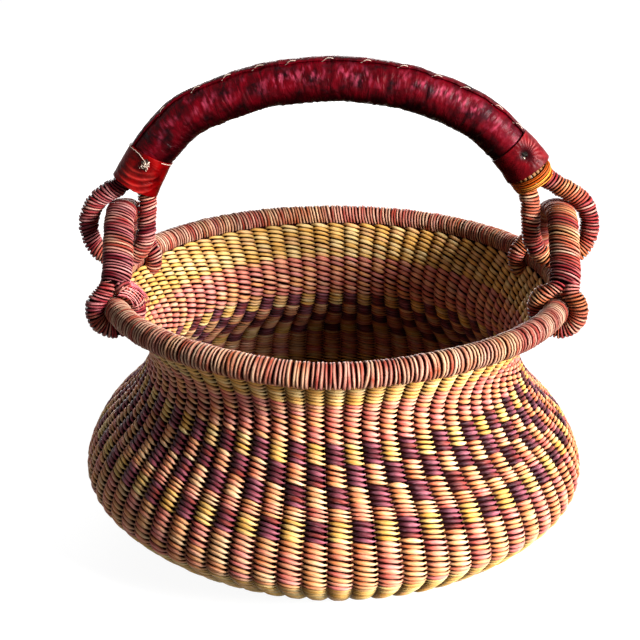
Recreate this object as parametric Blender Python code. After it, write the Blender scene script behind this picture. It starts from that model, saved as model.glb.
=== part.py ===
"""Round woven grass market basket with a wrapped rim, two rope ears and a leather-covered swing handle.

Metres, +Z up. The origin is the middle of the flat foot, the ears stand at +X and -X, and the handle
stands upright in the XZ plane. The handle turns on the straps of its two end loops, which rest on the rim
inside the ears.
"""

import math

import bmesh
import bpy
import numpy as np
from mathutils import Vector

# Driving sizes of the woven body, measured to the crests of its ribs.
FOOT_RADIUS = 0.132
BELLY_RADIUS = 0.194
BELLY_HEIGHT = 0.050
NECK_RADIUS = 0.1432
NECK_HEIGHT = 0.134
RIM_RADIUS = 0.170
RIM_HEIGHT = 0.1875
WALL = 0.005
RIB_DEPTH = 0.0014
STAKES = 72
FLARE_SHARES = ((0.47, 0.26), (0.90, 0.69))
SHOULDER_SHARES = ((0.24, 0.315), (0.72, 0.645))
LIP_SHARES = ((0.29, 0.48),)
OUTLINE_STEPS = 24

# Driving sizes of the rim rope and of the ears.
RIM_ROPE = 0.018
EAR_SPAN = 0.124
EAR_RISE = 0.056
EAR_INSET = 0.0065
EAR_LEG_RISE = 0.002
EAR_STEPS = 8
EYE_ROPE = 0.012
EAR_BARE_ROPE = 0.0096
EAR_WRAP_WALL = 0.0009
EAR_WRAP_TRIM_SHARE = 0.25
EYE_CLEARANCE = 0.0004
EYE_SLOT_CLEARANCE = 0.0011
EYE_SPLIT_ANGLE = math.radians(62)
EYE_STEPS = 13
EYE_SLOT_STEPS = 24

# Driving sizes of the handle: heights are above the rim, insets are in from it.
HANDLE_RISE = 0.1535
GRIP_END_RISE = 0.0785
GRIP_END_INSET = 0.0217
GRIP_WIDTH = 0.028
GRIP_ARCH_SHARES = ((0.0, 1.0), (0.30, 0.948), (0.44, 0.877), (0.585, 0.768), (0.735, 0.60),
                    (0.893, 0.304), (0.96, 0.135), (1.0, 0.0))
GRIP_STEPS = 12
LOOP_ROPE = 0.0135
LOOP_BARE_ROPE = 0.012
LOOP_INSET = 0.0255
LOOP_WIDTH = 0.0455
LOOP_SHARES = ((0.43, 0.935), (0.648, 0.85), (0.846, 0.735), (0.974, 0.558), (1.0, 0.373), (0.923, 0.189),
               (0.747, 0.055), (0.505, 0.0), (0.264, 0.055), (0.10, 0.189), (0.033, 0.357), (0.007, 0.55),
               (-0.02, 0.743))
PADDING_WALL = 0.0012
PADDING_IN_LEFT_CUFF = 0.022
SLEEVE_IN_CUFF = 0.016
SECTION_POINTS = 16
LEATHER = 0.0014
LAP_STEPS = 2
CUFF_LEATHER = 0.0015
CUFF_FLARE = 0.0006
LEFT_CUFF_LENGTH = 0.028
LEFT_CUFF_PAST_GRIP = 0.0035
RIGHT_CUFF_LENGTH = 0.024
RIGHT_CUFF_SHORT_OF_GRIP = 0.0105
ROPE_RUN_OUT = 0.004
SEAM_THREAD = 0.0010
SEAM_STITCHES = 14
SEAM_MARGIN = 0.0055
STITCH_REACH = math.radians(13)
STITCH_SHARES = ((0.0, 1), (0.2, 0), (0.4, -1), (0.7, 0))
CUFF_THREAD = 0.0011
KNOT_DROP = 0.009
KNOT_SWELL_SHARES = (2.2, 1.6)
BINDING_GRASS = 0.0016
BINDING_TURNS = 4
BINDING_LOOP_POINTS = 24
BINDING_GAP = 0.0012

CLEARANCE = 0.0003
ROPE_CLEARANCE = 0.0006

CORAL = (0.80, 0.30, 0.20)
STRAW = (0.82, 0.66, 0.24)
PLUM = (0.28, 0.06, 0.12)
LEATHER_RED = (0.33, 0.02, 0.03)
LINING_STRAW = (0.60, 0.48, 0.28)
THREAD_WHITE = (0.85, 0.78, 0.70)


def clear_scene():
    for obj in list(bpy.data.objects):
        bpy.data.objects.remove(obj)


def finish(obj, colour, roughness):
    """Links an object to the scene with a material of its own."""
    bpy.context.scene.collection.objects.link(obj)
    surface = bpy.data.materials.new(obj.name)
    surface.use_nodes = True
    shader = surface.node_tree.nodes["Principled BSDF"]
    shader.inputs["Base Color"].default_value = (*colour, 1.0)
    shader.inputs["Roughness"].default_value = roughness
    shader.inputs["Metallic"].default_value = 0.0
    obj.data.materials.append(surface)
    return obj


def solid(name, bm, colour, roughness=0.8):
    """An object from a closed bmesh, with its faces turned outwards."""
    bmesh.ops.recalc_face_normals(bm, faces=bm.faces)
    mesh = bpy.data.meshes.new(name)
    bm.to_mesh(mesh)
    bm.free()
    mesh.shade_smooth()
    mesh.set_sharp_from_angle(angle=math.radians(50))
    return finish(bpy.data.objects.new(name, mesh), colour, roughness)


def mix(start, end, share):
    return start + (end - start) * share


def smooth(points, steps):
    """Points on a smooth curve through the given points, with this many steps from each to the next."""
    points = [np.array(p, float) for p in points]
    found = []
    for i in range(len(points) - 1):
        start, end = points[i], points[i + 1]
        before = points[i - 1] if i else 2 * start - end
        after = points[i + 2] if i + 2 < len(points) else 2 * end - start
        for t in np.arange(steps) / steps:
            found.append(0.5 * (2 * start + (end - before) * t
                                + (2 * before - 5 * start + 4 * end - after) * t ** 2
                                + (3 * start - before - 3 * end + after) * t ** 3))
    return found + [points[-1]]


def rope(name, points, diameter, colour, shares=None, closed=False, sides=2):
    """A round rope along these points, as a curve with a bevel."""
    curve = bpy.data.curves.new(name, "CURVE")
    curve.dimensions = "3D"
    curve.bevel_depth = diameter / 2
    curve.bevel_resolution = sides
    curve.use_fill_caps = True
    spline = curve.splines.new("POLY")
    spline.points.add(len(points) - 1)
    for i, point in enumerate(points):
        spline.points[i].co = (*point, 1.0)
        spline.points[i].radius = shares[i] if shares else 1.0
    spline.use_cyclic_u = closed
    spline.use_smooth = True
    return finish(bpy.data.objects.new(name, curve), colour, 0.75)


def skin(bm, first, second):
    """Joins two rings of as many points with four-sided faces."""
    count = len(first)
    for i in range(count):
        j = (i + 1) % count
        bm.faces.new((first[i], first[j], second[j], second[i]))


def add_ring(bm, points):
    return [bm.verts.new(p) for p in points]


def part_way(start, end, shares):
    """Points between two others, each at its own share of the way across and of the way up."""
    return [(mix(start[0], end[0], across), mix(start[1], end[1], up)) for across, up in shares]


def wall_outline():
    """The points that the crest of the wall passes, as radius and height, from the foot to the rim."""
    foot, belly = (FOOT_RADIUS, 0.0), (BELLY_RADIUS, BELLY_HEIGHT)
    neck, rim = (NECK_RADIUS, NECK_HEIGHT), (RIM_RADIUS, RIM_HEIGHT)
    outline = [foot, *part_way(foot, belly, FLARE_SHARES)]
    outline += [belly, *part_way(belly, neck, SHOULDER_SHARES)]
    return outline + [neck, *part_way(neck, rim, LIP_SHARES), rim]


CREST = np.array(smooth(wall_outline(), OUTLINE_STEPS))
CREST_RUN = np.r_[0.0, np.cumsum(np.linalg.norm(np.diff(CREST, axis=0), axis=1))]
CREST_SLOPE = np.gradient(CREST, CREST_RUN, axis=0)


def wall_point(run, depth):
    """Radius and height of the point this far along the crest and this deep in the wall."""
    radius, height = (np.interp(run, CREST_RUN, CREST[:, k]) for k in (0, 1))
    across, up = (np.interp(run, CREST_RUN, CREST_SLOPE[:, k]) for k in (0, 1))
    steep = math.hypot(across, up)
    return radius - depth * up / steep, height + depth * across / steep


def run_at_height(height):
    return float(np.interp(height, CREST[:, 1], CREST_RUN))


def run_at_rim(depth):
    """How far along the crest the wall, at this depth, comes up against the rim rope."""
    seat = RIM_ROPE / 2 + ROPE_CLEARANCE
    low, high = run_at_height(NECK_HEIGHT), CREST_RUN[-1]
    for _ in range(OUTLINE_STEPS):
        middle = (low + high) / 2
        if math.dist(wall_point(middle, depth), (RIM_RADIUS, RIM_HEIGHT)) > seat:
            low = middle
        else:
            high = middle
    return low


def around(radius, height, count):
    """Points on a level circle round the basket's middle line."""
    turns = [2 * math.pi * i / count for i in range(count)]
    return [(radius * math.cos(t), radius * math.sin(t), height) for t in turns]


def rib_ring(bm, run):
    """A ring round the outside of the wall, out on every stake and in between two stakes."""
    crests = around(*wall_point(run, 0.0), 2 * STAKES)
    valleys = around(*wall_point(run, RIB_DEPTH), 2 * STAKES)
    return add_ring(bm, [valleys[i] if i % 2 else crests[i] for i in range(2 * STAKES)])


def lining_ring(bm, run):
    """A ring round the inside of the wall, with a third as many points as one round the outside."""
    return add_ring(bm, around(*wall_point(run, WALL), 2 * STAKES // 3))


def close_edge(bm, outer, inner):
    """Fills the edge of the wall between an outer ring and an inner one of a third as many points."""
    for i, here in enumerate(inner):
        after = inner[(i + 1) % len(inner)]
        fan = [outer[(3 * i + k) % len(outer)] for k in range(4)]
        bm.faces.new((here, fan[0], fan[1]))
        bm.faces.new((here, fan[1], fan[2], after))
        bm.faces.new((after, fan[2], fan[3]))


def woven_band(name, start, end, rows, colour):
    """One band of the wall: start and end are its runs outside and inside, rows its steps in height."""
    bm = bmesh.new()
    outer = [rib_ring(bm, mix(start[0], end[0], k / rows)) for k in range(rows + 1)]
    inner = [lining_ring(bm, mix(start[1], end[1], k / rows)) for k in range(rows + 1)]
    for rings in (outer, inner):
        for k in range(rows):
            skin(bm, rings[k], rings[k + 1])
    close_edge(bm, outer[0], inner[0])
    close_edge(bm, outer[-1], inner[-1])
    return solid(name, bm, colour)


# The bands of dyed weft from the foot up: name, share of the rim's height where it ends, rows, colour.
BASE_TOP_SHARE = 0.064
BAND_SHARES = (
    ("lower_edge_straw", 0.215, 3, STRAW),
    ("belly_coral", 0.382, 3, CORAL),
    ("lower_pattern", 0.443, 1, PLUM),
    ("middle_pattern", 0.597, 1, PLUM),
    ("upper_pattern", 0.663, 1, STRAW),
    ("neck_coral", 0.816, 2, CORAL),
)


def make_wall():
    """Every band from the foot to the rim, each a small gap above the last. The top one is returned."""
    low = run_at_height(BASE_TOP_SHARE * RIM_HEIGHT)
    for name, top_share, rows, colour in BAND_SHARES:
        high = run_at_height(top_share * RIM_HEIGHT)
        woven_band(name, (low + CLEARANCE,) * 2, (high,) * 2, rows, colour)
        low = high
    rim_side = (run_at_rim(0.0), run_at_rim(WALL))
    return woven_band("neck_straw", (low + CLEARANCE,) * 2, rim_side, 2, STRAW)


def make_base():
    """The woven round that the stakes start from, flat below, and turned up into the wall."""
    bm = bmesh.new()
    top = run_at_height(BASE_TOP_SHARE * RIM_HEIGHT)
    rim, bend = rib_ring(bm, top), rib_ring(bm, top / 2)
    foot = add_ring(bm, around(FOOT_RADIUS, 0.0, 2 * STAKES))
    skin(bm, rim, bend)
    skin(bm, bend, foot)
    bm.faces.new(foot)
    lining, floor = lining_ring(bm, top), lining_ring(bm, top / 2)
    skin(bm, lining, floor)
    bm.faces.new(floor)
    close_edge(bm, rim, lining)
    return solid("woven_base", bm, LINING_STRAW)


def make_rim():
    """The thick wrapped rope round the mouth."""
    return rope("rim_rope", around(RIM_RADIUS, RIM_HEIGHT, STAKES), RIM_ROPE, CORAL, closed=True)


# The ears: a rope doubled into an arch, whose two ends open into eyes round the rim rope.

BAR_HEIGHT = RIM_HEIGHT + RIM_ROPE / 2 + CLEARANCE + LOOP_ROPE / 2
EYE_RADIUS = RIM_ROPE / 2 + EYE_CLEARANCE + EYE_ROPE / 2
EAR_SIDE = EAR_SPAN / 2
EAR_FOOT = math.sqrt(RIM_RADIUS ** 2 - EAR_SIDE ** 2)
EAR_REACH = RIM_RADIUS - EAR_INSET
EAR_RUN = EAR_BARE_ROPE / 2 + CLEARANCE / 2
EAR_LEG = EYE_RADIUS + EAR_LEG_RISE


def ear_arch(side):
    """The middle line of an ear, with a top that is round about the line that the handle turns on."""
    top_radius = RIM_HEIGHT + EAR_RISE - BAR_HEIGHT
    leg_height = RIM_HEIGHT + EAR_LEG - BAR_HEIGHT
    leg_angle = math.atan2(EAR_SIDE, leg_height)
    bend_angle = leg_angle - math.acos(top_radius / math.hypot(EAR_SIDE, leg_height))
    angles = [mix(-bend_angle, bend_angle, k / EAR_STEPS) for k in range(EAR_STEPS + 1)]
    top = [(top_radius * math.sin(a), top_radius * math.cos(a)) for a in angles]
    outline = [(-EAR_SIDE, leg_height), *top, (EAR_SIDE, leg_height)]
    arch = []
    for y, height in outline:
        rise = (height + BAR_HEIGHT - RIM_HEIGHT) / EAR_RISE
        arch.append(np.array((side * mix(EAR_FOOT, EAR_REACH, rise), y, BAR_HEIGHT + height)))
    return arch


def ear_foot(side, front):
    """The middle of the rim rope at one foot of an ear, and the way out from the basket there."""
    outward = np.array((side * EAR_FOOT, front * EAR_SIDE, 0.0)) / RIM_RADIUS
    return RIM_RADIUS * outward + np.array((0.0, 0.0, RIM_HEIGHT)), outward


def eye_points(side, front):
    """The way of the rope round the rim at one foot of an ear, from its outer run to its inner one."""
    foot, outward = ear_foot(side, front)
    upward = np.array((0.0, 0.0, 1.0))
    points = []
    for k in range(EYE_STEPS + 1):
        angle = mix(EYE_SPLIT_ANGLE, -math.pi - EYE_SPLIT_ANGLE, k / EYE_STEPS)
        points.append(foot + EYE_RADIUS * (math.cos(angle) * outward + math.sin(angle) * upward))
    return points


def make_ear_rope(name, side):
    """The unbroken rope of one ear: over the arch and round the rim, then back and round the rim again."""
    arch = ear_arch(side)
    aside = np.array((side * EAR_RUN, 0.0, 0.0))
    rear_eye = eye_points(side, 1)
    front_eye = list(reversed(eye_points(side, -1)))
    path = [p + aside for p in arch] + rear_eye + [p - aside for p in reversed(arch)] + front_eye
    bare = EAR_BARE_ROPE / EYE_ROPE
    shares = [bare] * len(arch) + [1.0] * len(rear_eye) + [bare] * len(arch) + [1.0] * len(front_eye)
    return rope(name, path, EYE_ROPE, CORAL, shares, closed=True)


def oval(half_first, half_second, shift=0.0):
    """An oval section, as offsets along its two axes, moved along the first by the shift."""
    turns = [2 * math.pi * k / SECTION_POINTS for k in range(SECTION_POINTS)]
    return [(shift + half_first * math.cos(t), half_second * math.sin(t)) for t in turns]


def stadium(half_width, half_height, end_points=6):
    """A section with two round ends, as offsets across and up."""
    straight = half_width - half_height
    turns = [math.pi * (k / (end_points - 1) - 1 / 2) for k in range(end_points)]
    end = [(straight + half_height * math.cos(t), half_height * math.sin(t)) for t in turns]
    return end + [(-a, -b) for a, b in end]


def frames_along(path, across):
    """For each point of a path: the point, the side way across it and the way up from it."""
    path = np.array(path)
    tangents = np.gradient(path, axis=0)
    frames = []
    for point, tangent in zip(path, tangents):
        tangent = tangent / np.linalg.norm(tangent)
        sideways = np.array(across, float) - tangent * np.dot(tangent, across)
        sideways /= np.linalg.norm(sideways)
        frames.append((point, sideways, np.cross(tangent, sideways)))
    return frames


def hollow_sweep(name, frames, outer_sections, inner_sections, colour, roughness):
    """A tube open at both ends, from an outer and an inner section for each frame."""
    bm = bmesh.new()
    shells = []
    for sections in (outer_sections, inner_sections):
        rings = []
        for (point, sideways, upward), section in zip(frames, sections):
            rings.append(add_ring(bm, [point + a * sideways + b * upward for a, b in section]))
        for k in range(len(rings) - 1):
            skin(bm, rings[k], rings[k + 1])
        shells.append(rings)
    skin(bm, shells[0][0], shells[1][0])
    skin(bm, shells[0][-1], shells[1][-1])
    return solid(name, bm, colour, roughness)


def make_ear_wrap(name, side):
    """The grass wound round both runs of an ear's arch, from one leg to the other."""
    arch = ear_arch(side)
    front, rear = (mix(arch[foot], arch[leg], EAR_WRAP_TRIM_SHARE) for foot, leg in ((0, 1), (-1, -2)))
    frames = frames_along([front, *arch[1:-1], rear], (1.0, 0.0, 0.0))
    half_width = EAR_RUN + EAR_BARE_ROPE / 2 + ROPE_CLEARANCE
    half_height = EAR_BARE_ROPE / 2 + ROPE_CLEARANCE
    inner = [stadium(half_width, half_height)] * len(frames)
    outer = [stadium(half_width + EAR_WRAP_WALL, half_height + EAR_WRAP_WALL)] * len(frames)
    return hollow_sweep(name, frames, outer, inner, CORAL, 0.75)


def add_eye_cutter(bm, side, front):
    """Adds the round space that one eye takes, with clearance, as a closed ring."""
    foot, outward = ear_foot(side, front)
    upward = np.array((0.0, 0.0, 1.0))
    along = np.cross(upward, outward)
    reach = EYE_ROPE / 2 + EYE_SLOT_CLEARANCE
    rings = []
    for i in range(EYE_SLOT_STEPS):
        turn = 2 * math.pi * i / EYE_SLOT_STEPS
        spoke = math.cos(turn) * outward + math.sin(turn) * upward
        rings.append(add_ring(bm, [foot + (EYE_RADIUS + a) * spoke + b * along
                                   for a, b in oval(reach, reach)]))
    for i in range(EYE_SLOT_STEPS):
        skin(bm, rings[i - 1], rings[i])


def cut_eye_slots(wall):
    """Opens the top band where the four eyes pass through the weave under the rim rope."""
    bm = bmesh.new()
    for side in (1, -1):
        for front in (1, -1):
            add_eye_cutter(bm, side, front)
    cutter = solid("eye_slots", bm, STRAW)
    cutter.hide_render = True
    cutter.display_type = "WIRE"
    cut = wall.modifiers.new("eye slots", "BOOLEAN")
    cut.operation = "DIFFERENCE"
    cut.object = cutter


# The handle: an empty on the hinge axis carries every piece that swings.

GRIP_END_HEIGHT = RIM_HEIGHT + GRIP_END_RISE
GRIP_HALF_SPAN = RIM_RADIUS - GRIP_END_INSET
LOOP_INNER = RIM_RADIUS - LOOP_INSET


def grip_line():
    """The middle line of the grip, from its left end to its right one."""
    top, end = (0.0, RIM_HEIGHT + HANDLE_RISE), (GRIP_HALF_SPAN, GRIP_END_HEIGHT)
    half = part_way((top[0], end[1]), (end[0], top[1]), GRIP_ARCH_SHARES)
    whole = [(-x, z) for x, z in reversed(half[1:])] + half
    return np.array(smooth(whole, OUTLINE_STEPS))


GRIP = grip_line()
GRIP_RUN = np.r_[0.0, np.cumsum(np.linalg.norm(np.diff(GRIP, axis=0), axis=1))]
GRIP_RUN -= GRIP_RUN[-1] / 2
GRIP_SLOPE = np.gradient(GRIP, GRIP_RUN, axis=0)

# Where the nested pieces of the grip start and end, along its middle line from its top.
GRIP_END = GRIP_RUN[-1]
LEFT_CUFF_MOUTH = GRIP_END + LEFT_CUFF_PAST_GRIP
LEFT_CUFF_TOP = LEFT_CUFF_MOUTH - LEFT_CUFF_LENGTH
RIGHT_CUFF_MOUTH = GRIP_END - RIGHT_CUFF_SHORT_OF_GRIP
RIGHT_CUFF_TOP = RIGHT_CUFF_MOUTH - RIGHT_CUFF_LENGTH
BINDING_PITCH = BINDING_GRASS + BINDING_GAP
BINDING_START = RIGHT_CUFF_MOUTH + CLEARANCE + BINDING_GRASS / 2
PADDING_LEFT = LEFT_CUFF_TOP + PADDING_IN_LEFT_CUFF
PADDING_RIGHT = BINDING_START + BINDING_TURNS * BINDING_PITCH + BINDING_GRASS
SLEEVE_LEFT = LEFT_CUFF_TOP + SLEEVE_IN_CUFF
SLEEVE_RIGHT = RIGHT_CUFF_TOP + SLEEVE_IN_CUFF
RUN_END = PADDING_RIGHT + ROPE_RUN_OUT


def grip_frame(run):
    """The point this far along the grip from its top, the way out from the arch there, and the way back."""
    inside = min(max(run, GRIP_RUN[0]), GRIP_RUN[-1])
    x, z = (np.interp(inside, GRIP_RUN, GRIP[:, k]) for k in (0, 1))
    along_x, along_z = (np.interp(inside, GRIP_RUN, GRIP_SLOPE[:, k]) for k in (0, 1))
    size = math.hypot(along_x, along_z)
    along = np.array((along_x, 0.0, along_z)) / size
    point = np.array((x, 0.0, z)) + along * (run - inside)
    return point, np.array((-along[2], 0.0, along[0])), np.array((0.0, 1.0, 0.0))


def stations(first, last):
    """The places along the grip, from first to last, where its nested pieces all have a ring of points."""
    ends = [-RUN_END, -LEFT_CUFF_MOUTH, -PADDING_LEFT, -SLEEVE_LEFT, -LEFT_CUFF_TOP]
    ends += [RIGHT_CUFF_TOP, SLEEVE_RIGHT, RIGHT_CUFF_MOUTH, PADDING_RIGHT, RUN_END]
    middle = [mix(-LEFT_CUFF_TOP, RIGHT_CUFF_TOP, k / GRIP_STEPS) for k in range(1, GRIP_STEPS)]
    return [run for run in sorted(ends + middle) if first <= run <= last]


def loop_points(side):
    """The way of the rope round one end loop, from the grip's outer run to its inner one."""
    low, high = (LOOP_INNER, BAR_HEIGHT), (LOOP_INNER + LOOP_WIDTH, GRIP_END_HEIGHT)
    return [np.array((side * x, 0.0, z)) for x, z in part_way(low, high, LOOP_SHARES)]


RUN_OFFSET = LOOP_BARE_ROPE / 2 + CLEARANCE / 2


def run_points(offset):
    """One run of the rope through the grip, from left to right."""
    return [grip_frame(run)[0] + offset * grip_frame(run)[1] for run in stations(-RUN_END, RUN_END)]


def make_handle_rope():
    """The unbroken rope of the handle: two runs through the grip, joined by a loop at either end."""
    bare = LOOP_BARE_ROPE / LOOP_ROPE
    path, shares = [], []
    for side, offset in ((1, RUN_OFFSET), (-1, -RUN_OFFSET)):
        run, bend = run_points(offset), loop_points(side)
        if side < 0:
            run.reverse()
            bend.reverse()
        bend = smooth([run[-1], *bend], 2)[1:]
        path += run + bend
        shares += [bare] * len(run) + [1.0] * len(bend)
    return rope("handle_rope", path, LOOP_ROPE, CORAL, shares, closed=True)


BORE_REACH = LOOP_BARE_ROPE / 2 + ROPE_CLEARANCE
PADDING_OUT = RUN_OFFSET + BORE_REACH + PADDING_WALL
PADDING_ACROSS = GRIP_WIDTH / 2 - LEATHER - CLEARANCE
SLEEVE_OUT = PADDING_OUT + CLEARANCE + LEATHER
SLEEVE_ACROSS = GRIP_WIDTH / 2


def make_padding():
    """The straw padding that rounds the two runs of the rope out to the grip's section."""
    frames = [grip_frame(run) for run in stations(-PADDING_LEFT, PADDING_RIGHT)]
    bore = stadium(RUN_OFFSET + BORE_REACH, BORE_REACH, SECTION_POINTS // 2)
    bore = bore[SECTION_POINTS // 4:] + bore[:SECTION_POINTS // 4]
    return hollow_sweep("grip_padding", frames, [oval(PADDING_OUT, PADDING_ACROSS)] * len(frames),
                        [bore] * len(frames), LINING_STRAW, 0.9)


def sleeve_section():
    """The leather sheet's section: once round the padding and on over its own start, as one outline."""
    inside, outside = [], []
    for k in range(SECTION_POINTS + LAP_STEPS + 1):
        angle = 2 * math.pi * (k - LAP_STEPS / 2) / SECTION_POINTS
        lift = LEATHER + CLEARANCE if k >= SECTION_POINTS else 0.0
        for found, extra in ((inside, lift), (outside, lift + LEATHER)):
            out, across = PADDING_OUT + CLEARANCE + extra, PADDING_ACROSS + CLEARANCE + extra
            found.append((out * math.cos(angle), -across * math.sin(angle)))
    return outside + inside[::-1]


def make_sleeve():
    """The stitched leather sleeve, lapped along the outer side of the arch."""
    bm = bmesh.new()
    section = sleeve_section()
    rings = []
    for run in stations(-SLEEVE_LEFT, SLEEVE_RIGHT):
        point, outward, rearward = grip_frame(run)
        rings.append(add_ring(bm, [point + a * outward + b * rearward for a, b in section]))
    for k in range(len(rings) - 1):
        skin(bm, rings[k], rings[k + 1])
    for ring in (rings[0], rings[-1]):
        half = len(ring) // 2
        for k in range(half - 1):
            bm.faces.new((ring[k], ring[k + 1], ring[-k - 2], ring[-k - 1]))
    return solid("leather_sleeve", bm, LEATHER_RED, 0.45)


CUFF_SHIFT = (LEATHER + CLEARANCE) / 2
CUFF_ROUNDING = 1 / math.cos(math.pi / SECTION_POINTS)
CUFF_OUT = (SLEEVE_OUT + CUFF_SHIFT) * CUFF_ROUNDING + CLEARANCE
CUFF_ACROSS = (SLEEVE_ACROSS + CUFF_SHIFT) * CUFF_ROUNDING + CLEARANCE


def cuff_flare(run, top, mouth):
    """How much wider the cuff is here than at its top."""
    return CUFF_FLARE * (abs(run) - top) / (mouth - top)


def make_cuff(name, side, top, mouth):
    """A short leather band round one end of the sleeve, a little wider at its mouth."""
    frames, outer, inner = [], [], []
    for run in stations(*sorted((side * top, side * mouth))):
        frames.append(grip_frame(run))
        flare = cuff_flare(run, top, mouth)
        inner.append(oval(CUFF_OUT + flare, CUFF_ACROSS + flare, CUFF_SHIFT))
        outer.append(oval(CUFF_OUT + CUFF_LEATHER + flare, CUFF_ACROSS + CUFF_LEATHER + flare, CUFF_SHIFT))
    return hollow_sweep(name, frames, outer, inner, LEATHER_RED, 0.4)


def over_sleeve(run, angle, lift):
    """A point this far above the sleeve's own surface, or above the flap's with its thickness in lift."""
    point, outward, rearward = grip_frame(run)
    out = (SLEEVE_OUT + lift) * math.cos(angle)
    across = (SLEEVE_ACROSS + lift) * math.sin(angle)
    return point + out * outward - across * rearward


def make_seam_thread():
    """The thread that whips the flap down: it steps over the flap's edge and back once a stitch."""
    edge = math.pi * LAP_STEPS / SECTION_POINTS
    on_sleeve = CLEARANCE + SEAM_THREAD / 2
    on_flap = on_sleeve + LEATHER + CLEARANCE
    lifts = {1: on_sleeve, 0: on_flap + CLEARANCE, -1: on_flap}
    first, last = SEAM_MARGIN - LEFT_CUFF_TOP, RIGHT_CUFF_TOP - SEAM_MARGIN
    pitch = (last - first) / SEAM_STITCHES
    path = []
    for k in range(SEAM_STITCHES):
        for share, step in STITCH_SHARES:
            path.append(over_sleeve(first + pitch * (k + share), edge + step * STITCH_REACH, lifts[step]))
    return rope("seam_thread", path, SEAM_THREAD, THREAD_WHITE, sides=0)


def over_cuff(run, angle, lift):
    """A point this far above the left cuff's outer surface."""
    point, outward, rearward = grip_frame(-run)
    reach = CUFF_LEATHER + cuff_flare(run, LEFT_CUFF_TOP, LEFT_CUFF_MOUTH) + lift
    out = CUFF_SHIFT + (CUFF_OUT + reach) * math.cos(angle)
    across = (CUFF_ACROSS + reach) * math.sin(angle)
    return point + out * outward - across * rearward


def make_cuff_thread():
    """The pale thread tied round the top of the left cuff, with its knot hanging on the front."""
    lift = CLEARANCE + CUFF_THREAD / 2
    top = LEFT_CUFF_TOP + CUFF_THREAD
    front = math.pi / 2
    path = [over_cuff(top, front + 2 * math.pi * k / SECTION_POINTS, lift) for k in range(1, SECTION_POINTS)]
    path.append(over_cuff(top + KNOT_DROP / 2, front, lift))
    for k, share in enumerate(KNOT_SWELL_SHARES):
        path.append(over_cuff(top + KNOT_DROP + CUFF_THREAD * k, front, CLEARANCE + share * CUFF_THREAD / 2))
    shares = [1.0] * (len(path) - len(KNOT_SWELL_SHARES)) + list(KNOT_SWELL_SHARES)
    return rope("cuff_thread_left", path, CUFF_THREAD, THREAD_WHITE, shares, sides=0)


def make_binding():
    """The yellow grass wound several times round the grip below the right cuff, as one unbroken strip."""
    lift = CLEARANCE + BINDING_GRASS / 2
    rounding = 1 / math.cos(math.pi / BINDING_LOOP_POINTS)
    path = []
    for k in range(BINDING_TURNS * BINDING_LOOP_POINTS + 1):
        turn = k / BINDING_LOOP_POINTS
        point, outward, rearward = grip_frame(BINDING_START + BINDING_PITCH * turn)
        angle = 2 * math.pi * turn + math.pi / 2
        path.append(point + (PADDING_OUT * rounding + lift) * math.cos(angle) * outward
                    - (PADDING_ACROSS * rounding + lift) * math.sin(angle) * rearward)
    for end, before in ((0, 1), (-1, -2)):
        straight = (path[end] - path[before]) / math.dist(path[end], path[before])
        path.insert(len(path) if end else 0, path[end] + BINDING_GRASS * straight)
    spots = np.array(path)
    half_turn = BINDING_LOOP_POINTS // 2
    apart = min(np.linalg.norm(spots[k + half_turn:] - spots[k], axis=1).min()
                for k in range(len(spots) - half_turn))
    gap_mm = 1000 * (apart - BINDING_GRASS)
    print(f"grass_binding_right: {BINDING_TURNS} turns, least gap to itself {gap_mm:.2f} mm")
    return rope("grass_binding_right", path, BINDING_GRASS, STRAW, sides=1)


def make_handle():
    """Every piece of the handle, parented to an empty on the hinge axis."""
    hinge = bpy.data.objects.new("handle_hinge", None)
    hinge.location = Vector((0.0, 0.0, BAR_HEIGHT))
    bpy.context.scene.collection.objects.link(hinge)
    pieces = [make_handle_rope(), make_padding(), make_sleeve()]
    pieces += [make_cuff("cuff_left", -1, LEFT_CUFF_TOP, LEFT_CUFF_MOUTH)]
    pieces += [make_cuff("cuff_right", 1, RIGHT_CUFF_TOP, RIGHT_CUFF_MOUTH)]
    pieces += [make_seam_thread(), make_cuff_thread(), make_binding()]
    for piece in pieces:
        piece.parent = hinge
        piece.matrix_parent_inverse.translation = -hinge.location


def make_ears():
    for name, side in (("left", -1), ("right", 1)):
        make_ear_rope("ear_rope_" + name, side)
        make_ear_wrap("ear_wrap_" + name, side)


def main():
    clear_scene()
    make_base()
    top_band = make_wall()
    cut_eye_slots(top_band)
    make_rim()
    make_ears()
    make_handle()


main()
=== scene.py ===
import math

import bmesh
import bpy
import numpy as np
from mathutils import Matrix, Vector, noise


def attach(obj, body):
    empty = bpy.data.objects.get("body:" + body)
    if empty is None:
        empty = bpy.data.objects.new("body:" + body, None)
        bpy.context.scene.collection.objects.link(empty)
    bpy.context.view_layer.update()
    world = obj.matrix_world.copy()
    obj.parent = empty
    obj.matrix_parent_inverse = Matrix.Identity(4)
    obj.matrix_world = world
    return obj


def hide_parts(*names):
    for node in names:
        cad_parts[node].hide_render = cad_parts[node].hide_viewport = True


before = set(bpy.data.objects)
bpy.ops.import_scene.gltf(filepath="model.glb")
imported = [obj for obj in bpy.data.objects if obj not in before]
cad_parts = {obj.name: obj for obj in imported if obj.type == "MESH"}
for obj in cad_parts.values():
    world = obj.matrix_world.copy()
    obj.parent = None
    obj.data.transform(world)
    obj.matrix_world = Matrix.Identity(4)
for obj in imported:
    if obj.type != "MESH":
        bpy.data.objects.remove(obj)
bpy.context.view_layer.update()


# The camera looks at the basket from a little above, as a customer at a market stall does.
# It stands 0.9 m away with a lens of medium length.

def placed(name, data):
    """A new object in the scene."""
    thing = bpy.data.objects.new(name, data)
    bpy.context.scene.collection.objects.link(thing)
    return thing


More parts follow.
